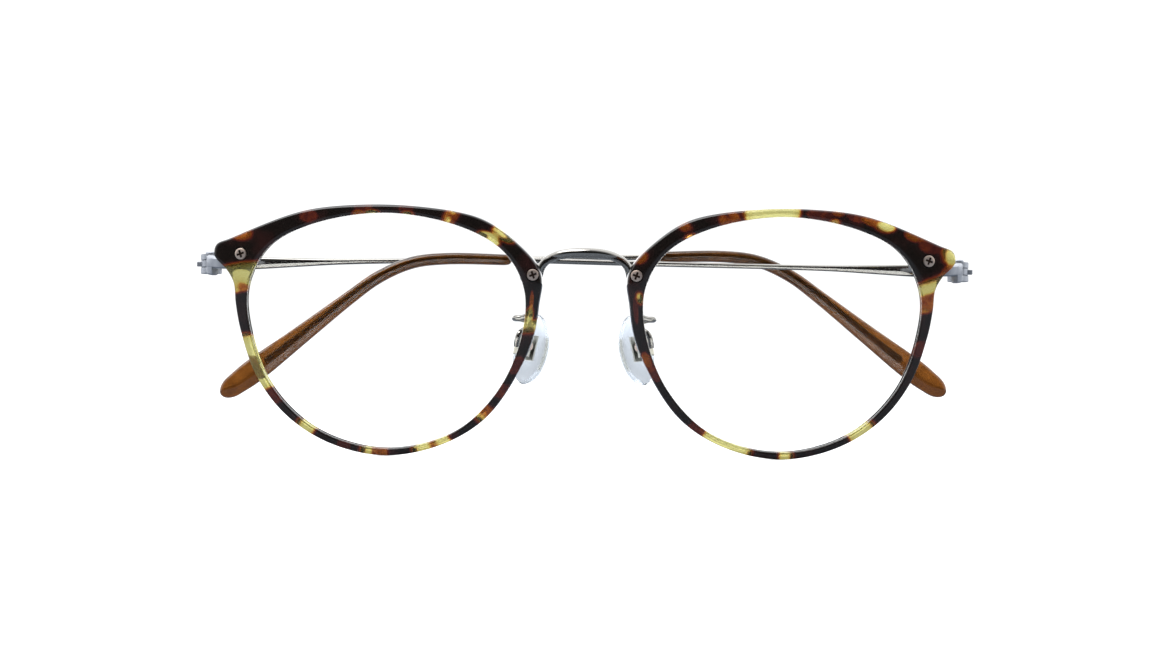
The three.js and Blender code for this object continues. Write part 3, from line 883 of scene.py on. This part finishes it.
for hand in sides:
    s = templeShape
    place = toSide(templeFrame(hand), hand)
    outside = ribbonRings([p for p in barStations if p[0] <= s["barTo"]], 8, s["bar"], s["edge"], False)
    outside = [r for r in outside if r[0].y < s["tipFrom"]]
    temple = smoother(loft(f"temple_{hand}_bar", outside, place), 2)
    done(temple, f"{hand}_temple", "titanium", finish["polished"], f"temple_{hand}")
    inner = ribbonRings(barStations, 8, s["core"], s["coreEdge"], True)
    inner = [r for r in inner if r[0].y > s["tipFrom"] - 0.6]
    core = smoother(loft(f"temple_{hand}_core", inner, place), 2)
    done(core, f"{hand}_temple", "titanium", finish["core"], f"temple_{hand}")
    outer = ribbonRings(tipStations, 6, s["tip"], s["tipEdge"], True, s["tipEnd"])
    tip = smoother(loft(f"temple_tip_{hand}_shell", outer, place), 2)
    done(tip, f"{hand}_temple", "tip_acetate", finish["tip"], f"temple_tip_{hand}")

    bore, radius, tall, ease = s["barrel"]
    profile = [(bore, -tall), (radius - ease, -tall), (radius, ease - tall), (radius, tall - ease),
               (radius - ease, tall), (bore, tall), (bore, -tall)]
    upright = place @ Matrix.Rotation(radians(-90), 4, "X")
    barrel = turnedShape(f"temple_{hand}_barrel", profile, upright, 32)
    done(barrel, f"{hand}_temple", "titanium", finish["satin"], f"temple_{hand}")
    at = place @ Matrix.Translation((0, s["tongueAt"], 0))
    tongue = rounded(box(f"temple_{hand}_tongue", s["tongue"], at), s["tongueEdge"])
    done(tongue, f"{hand}_temple", "titanium", finish["satin"], f"temple_{hand}")
    at = place @ Matrix.Translation((0, s["heelAt"], 0))
    heel = rounded(box(f"temple_{hand}_heel", s["heel"], at), s["heelEdge"])
    done(heel, f"{hand}_temple", "titanium", finish["satin"], f"temple_{hand}")
print("temples made")

padShape = {
    "pivot": (10.8, 9.3, -2.75), "splay": 50, "lean": 19, "back": -1.35, "thickness": 2.2,
    "outline": [(0, 6.6), (2.5, 4.6), (3.65, 0.6), (3.2, -3.6), (0.6, -6.6), (-2.4, -5.2),
                (-3.7, -1.2), (-3.1, 3.2)],
    "layers": [(0.0, 0.55), (0.06, 0.86), (0.3, 1.0), (0.68, 1.0), (0.93, 0.84), (1.0, 0.5)],
}
armShape = {
    "wire": 0.52,
    "path": [(8.22, 5.8, 7.76), (8.4, 5.8, 5.6), (9.3, 5.9, 3.5), (11.0, 6.5, 2.45), (12.2, 7.3, 2.3),
             (12.25, 8.4, 2.15), (11.2, 9.3, 2.0), (10.0, 9.7, 1.5), (9.7, 9.2, 0.8), (10.6, 8.3, 0.2),
             (11.5, 7.6, -0.5), (11.9, 7.5, -1.6), (11.98, 7.9, -2.75)],
}
padFrame = (Matrix.Translation(padShape["pivot"])
            @ Matrix.Rotation(radians(-padShape["splay"]), 4, "Z")
            @ Matrix.Rotation(radians(-padShape["lean"]), 4, "Y"))

for hand in sides:
    s = padShape
    place = toSide(padFrame, hand)
    outline = curveThrough([(y, z, 0) for y, z in s["outline"]], 3, True)
    rings = [[(s["back"] - depth * s["thickness"], y * size, z * size) for y, z, _ in outline]
             for depth, size in s["layers"]]
    pad = smoother(loft(f"nose_pad_{hand}_soft", rings, place), 2)
    done(pad, f"{hand}_nose_pad", "pad_clear", finish["pad"], f"nose_pad_{hand}")
    insert = machined(f"pad_insert_{hand}", f"pad_insert_{hand}_plate", 0.12)
    done(insert, f"{hand}_nose_pad", "pad_core", finish["insert"], f"pad_insert_{hand}")
    holder = machined(f"pad_box_{hand}", f"pad_box_{hand}_cup", 0.12)
    done(holder, "front", "titanium", finish["insert"], f"pad_box_{hand}")
    padScrew = machined(f"pad_screw_{hand}", f"pad_screw_{hand}_pin", 0.08)
    done(padScrew, "front", "screw_steel", finish["screw"], f"pad_screw_{hand}")
    arm = wire(f"pad_arm_{hand}_wire", armShape["path"], armShape["wire"], toSide(Matrix(), hand))
    done(arm, "front", "titanium", finish["polished"], f"pad_arm_{hand}")
print("nose pads made")

studio = {
    "floor": 40, "mirroredFloor": (0.16, 0.18, 0.21),
    "paper": (1.0, 1.0, 1.0), "paperStrength": 1.12,
    "tent": (0.97, 0.985, 1.0), "bright": 1.9, "dark": 0.03,
    "darkFrom": -0.8, "darkTo": 0.05,  # straight in front is -1
    "overhead": 1.1, "overheadFrom": 0.35, "overheadTo": 0.85,
    "key": (12, 1.0, 0.7), "keyAt": (-0.4, -0.35, 1.1), "keyAimedAt": (0, 0, 0.02),
}
floor = addPiece("floor", bpy.data.meshes.new("floor"))
half = studio["floor"] / 2
floor.data.from_pydata([(-half, -half, 0), (half, -half, 0), (half, half, 0), (-half, half, 0)], [],
                       [(0, 1, 2, 3)])
paper = bpy.data.materials.new("white paper")
paper.use_nodes = True
tree = paper.node_tree
tree.nodes.clear()
output = tree.nodes.new("ShaderNodeOutputMaterial")
output.label = "Paper"
output.location = (300, 0)
sheet = tree.nodes.new("ShaderNodeBsdfPrincipled")
sheet.label = "Matt white"
sheet.location = (0, 0)
sheet.inputs["Roughness"].default_value = 1
sheet.inputs["Specular IOR Level"].default_value = 0
rays = tree.nodes.new("ShaderNodeLightPath")
rays.label = "Seen in a shiny surface"
rays.location = (-700, 0)
shine = tree.nodes.new("ShaderNodeMath")
shine.label = "Mirrored, and not seen through"
shine.location = (-450, 0)
shine.operation = "SUBTRACT"
shine.use_clamp = True
tone = tree.nodes.new("ShaderNodeMix")
tone.label = "White, or grey in reflections"
tone.location = (-220, 0)
tone.data_type = "RGBA"
tone.inputs["A"].default_value = (0.97, 0.97, 0.97, 1)
tone.inputs["B"].default_value = (*studio["mirroredFloor"], 1)
tree.links.new(rays.outputs["Is Glossy Ray"], shine.inputs[0])
tree.links.new(rays.outputs["Is Transmission Ray"], shine.inputs[1])
tree.links.new(shine.outputs[0], tone.inputs["Factor"])
tree.links.new(tone.outputs["Result"], sheet.inputs["Base Color"])
tree.links.new(sheet.outputs["BSDF"], output.inputs["Surface"])
floor.data.materials.append(paper)

world = bpy.data.worlds.new("studio")
bpy.context.scene.world = world
world.use_nodes = True
tree = world.node_tree
tree.nodes.clear()
output = tree.nodes.new("ShaderNodeOutputWorld")
output.label = "Studio"
output.location = (800, 0)
place = tree.nodes.new("ShaderNodeTexCoord")
place.label = "Direction"
place.location = (-800, 0)
axes = tree.nodes.new("ShaderNodeSeparateXYZ")
axes.label = "Front to back"
axes.location = (-600, 0)
gobo = tree.nodes.new("ShaderNodeMapRange")
gobo.label = "Dark side of the room"
gobo.location = (-400, 0)
gobo.interpolation_type = "SMOOTHSTEP"
gobo.inputs["From Min"].default_value = studio["darkFrom"]
gobo.inputs["From Max"].default_value = studio["darkTo"]
gobo.inputs["To Min"].default_value = studio["dark"]
gobo.inputs["To Max"].default_value = studio["bright"]
top = tree.nodes.new("ShaderNodeMapRange")
top.label = "Brighter overhead"
top.location = (-400, -300)
top.interpolation_type = "SMOOTHSTEP"
top.inputs["From Min"].default_value = studio["overheadFrom"]
top.inputs["From Max"].default_value = studio["overheadTo"]
top.inputs["To Min"].default_value = 1
top.inputs["To Max"].default_value = studio["overhead"]
tent = tree.nodes.new("ShaderNodeMath")
tent.label = "Light of the tent"
tent.location = (-200, -150)
tent.operation = "MULTIPLY"
room = tree.nodes.new("ShaderNodeBackground")
room.label = "Tent around the glasses"
room.location = (0, -100)
room.inputs["Color"].default_value = (*studio["tent"], 1)
backdrop = tree.nodes.new("ShaderNodeBackground")
backdrop.label = "White backdrop"
backdrop.location = (0, 100)
backdrop.inputs["Color"].default_value = (*studio["paper"], 1)
backdrop.inputs["Strength"].default_value = studio["paperStrength"]
rays = tree.nodes.new("ShaderNodeLightPath")
rays.label = "Seen straight or through"
rays.location = (-400, 400)
mirrored = tree.nodes.new("ShaderNodeMath")
mirrored.label = "Mirrored or scattered on the way"
mirrored.location = (-200, 550)
mirrored.operation = "ADD"
straight = tree.nodes.new("ShaderNodeMath")
straight.label = "Through, and straight"
straight.location = (0, 450)
straight.operation = "SUBTRACT"
straight.use_clamp = True
either = tree.nodes.new("ShaderNodeMath")
either.label = "Seen at all"
either.location = (200, 350)
either.operation = "MAXIMUM"
choose = tree.nodes.new("ShaderNodeMixShader")
choose.label = "Backdrop or tent"
choose.location = (400, 0)
tentFrame = tree.nodes.new("NodeFrame")
tentFrame.label = "Tent, dark in front"
for node in (place, axes, gobo, top, tent, room):
    node.parent = tentFrame
whiteFrame = tree.nodes.new("NodeFrame")
whiteFrame.label = "White behind the glasses"
for node in (rays, mirrored, straight, either, backdrop):
    node.parent = whiteFrame
tree.links.new(place.outputs["Generated"], axes.inputs["Vector"])
tree.links.new(axes.outputs["Y"], gobo.inputs["Value"])
tree.links.new(axes.outputs["Z"], top.inputs["Value"])
tree.links.new(gobo.outputs["Result"], tent.inputs[0])
tree.links.new(top.outputs["Result"], tent.inputs[1])
tree.links.new(tent.outputs[0], room.inputs["Strength"])
tree.links.new(rays.outputs["Is Camera Ray"], either.inputs[0])
tree.links.new(rays.outputs["Glossy Depth"], mirrored.inputs[0])
tree.links.new(rays.outputs["Diffuse Depth"], mirrored.inputs[1])
tree.links.new(rays.outputs["Is Transmission Ray"], straight.inputs[0])
tree.links.new(mirrored.outputs[0], straight.inputs[1])
tree.links.new(straight.outputs[0], either.inputs[1])
tree.links.new(either.outputs[0], choose.inputs["Fac"])
tree.links.new(room.outputs["Background"], choose.inputs[1])
tree.links.new(backdrop.outputs["Background"], choose.inputs[2])
tree.links.new(choose.outputs["Shader"], output.inputs["Surface"])

lamp = bpy.data.lights.new("overhead softbox", "AREA")
lamp.shape = "RECTANGLE"
lamp.energy, lamp.size, lamp.size_y = studio["key"]
key = addPiece("overhead softbox", lamp)
key.location = studio["keyAt"]
aim = Vector(studio["keyAt"]) - Vector(studio["keyAimedAt"])
key.rotation_euler = aim.to_track_quat("Z", "Y").to_euler()
key.visible_camera = False

shot = {"height": 22.7, "away": 1008, "aside": -0.27, "lens": 174.6, "sensor": 36, "roll": 0.62}
view = bpy.data.cameras.new("camera")
view.lens = shot["lens"]
view.sensor_width = shot["sensor"]
view.clip_start = 0.05
view.clip_end = 200
camera = addPiece("camera", view)
camera.location = Vector((shot["aside"], -shot["away"], shot["height"])) * mm
camera.rotation_euler = (radians(90), radians(-shot["roll"]), 0)
bpy.context.scene.camera = camera
bpy.context.scene.view_settings.view_transform = "Standard"
print("studio set")
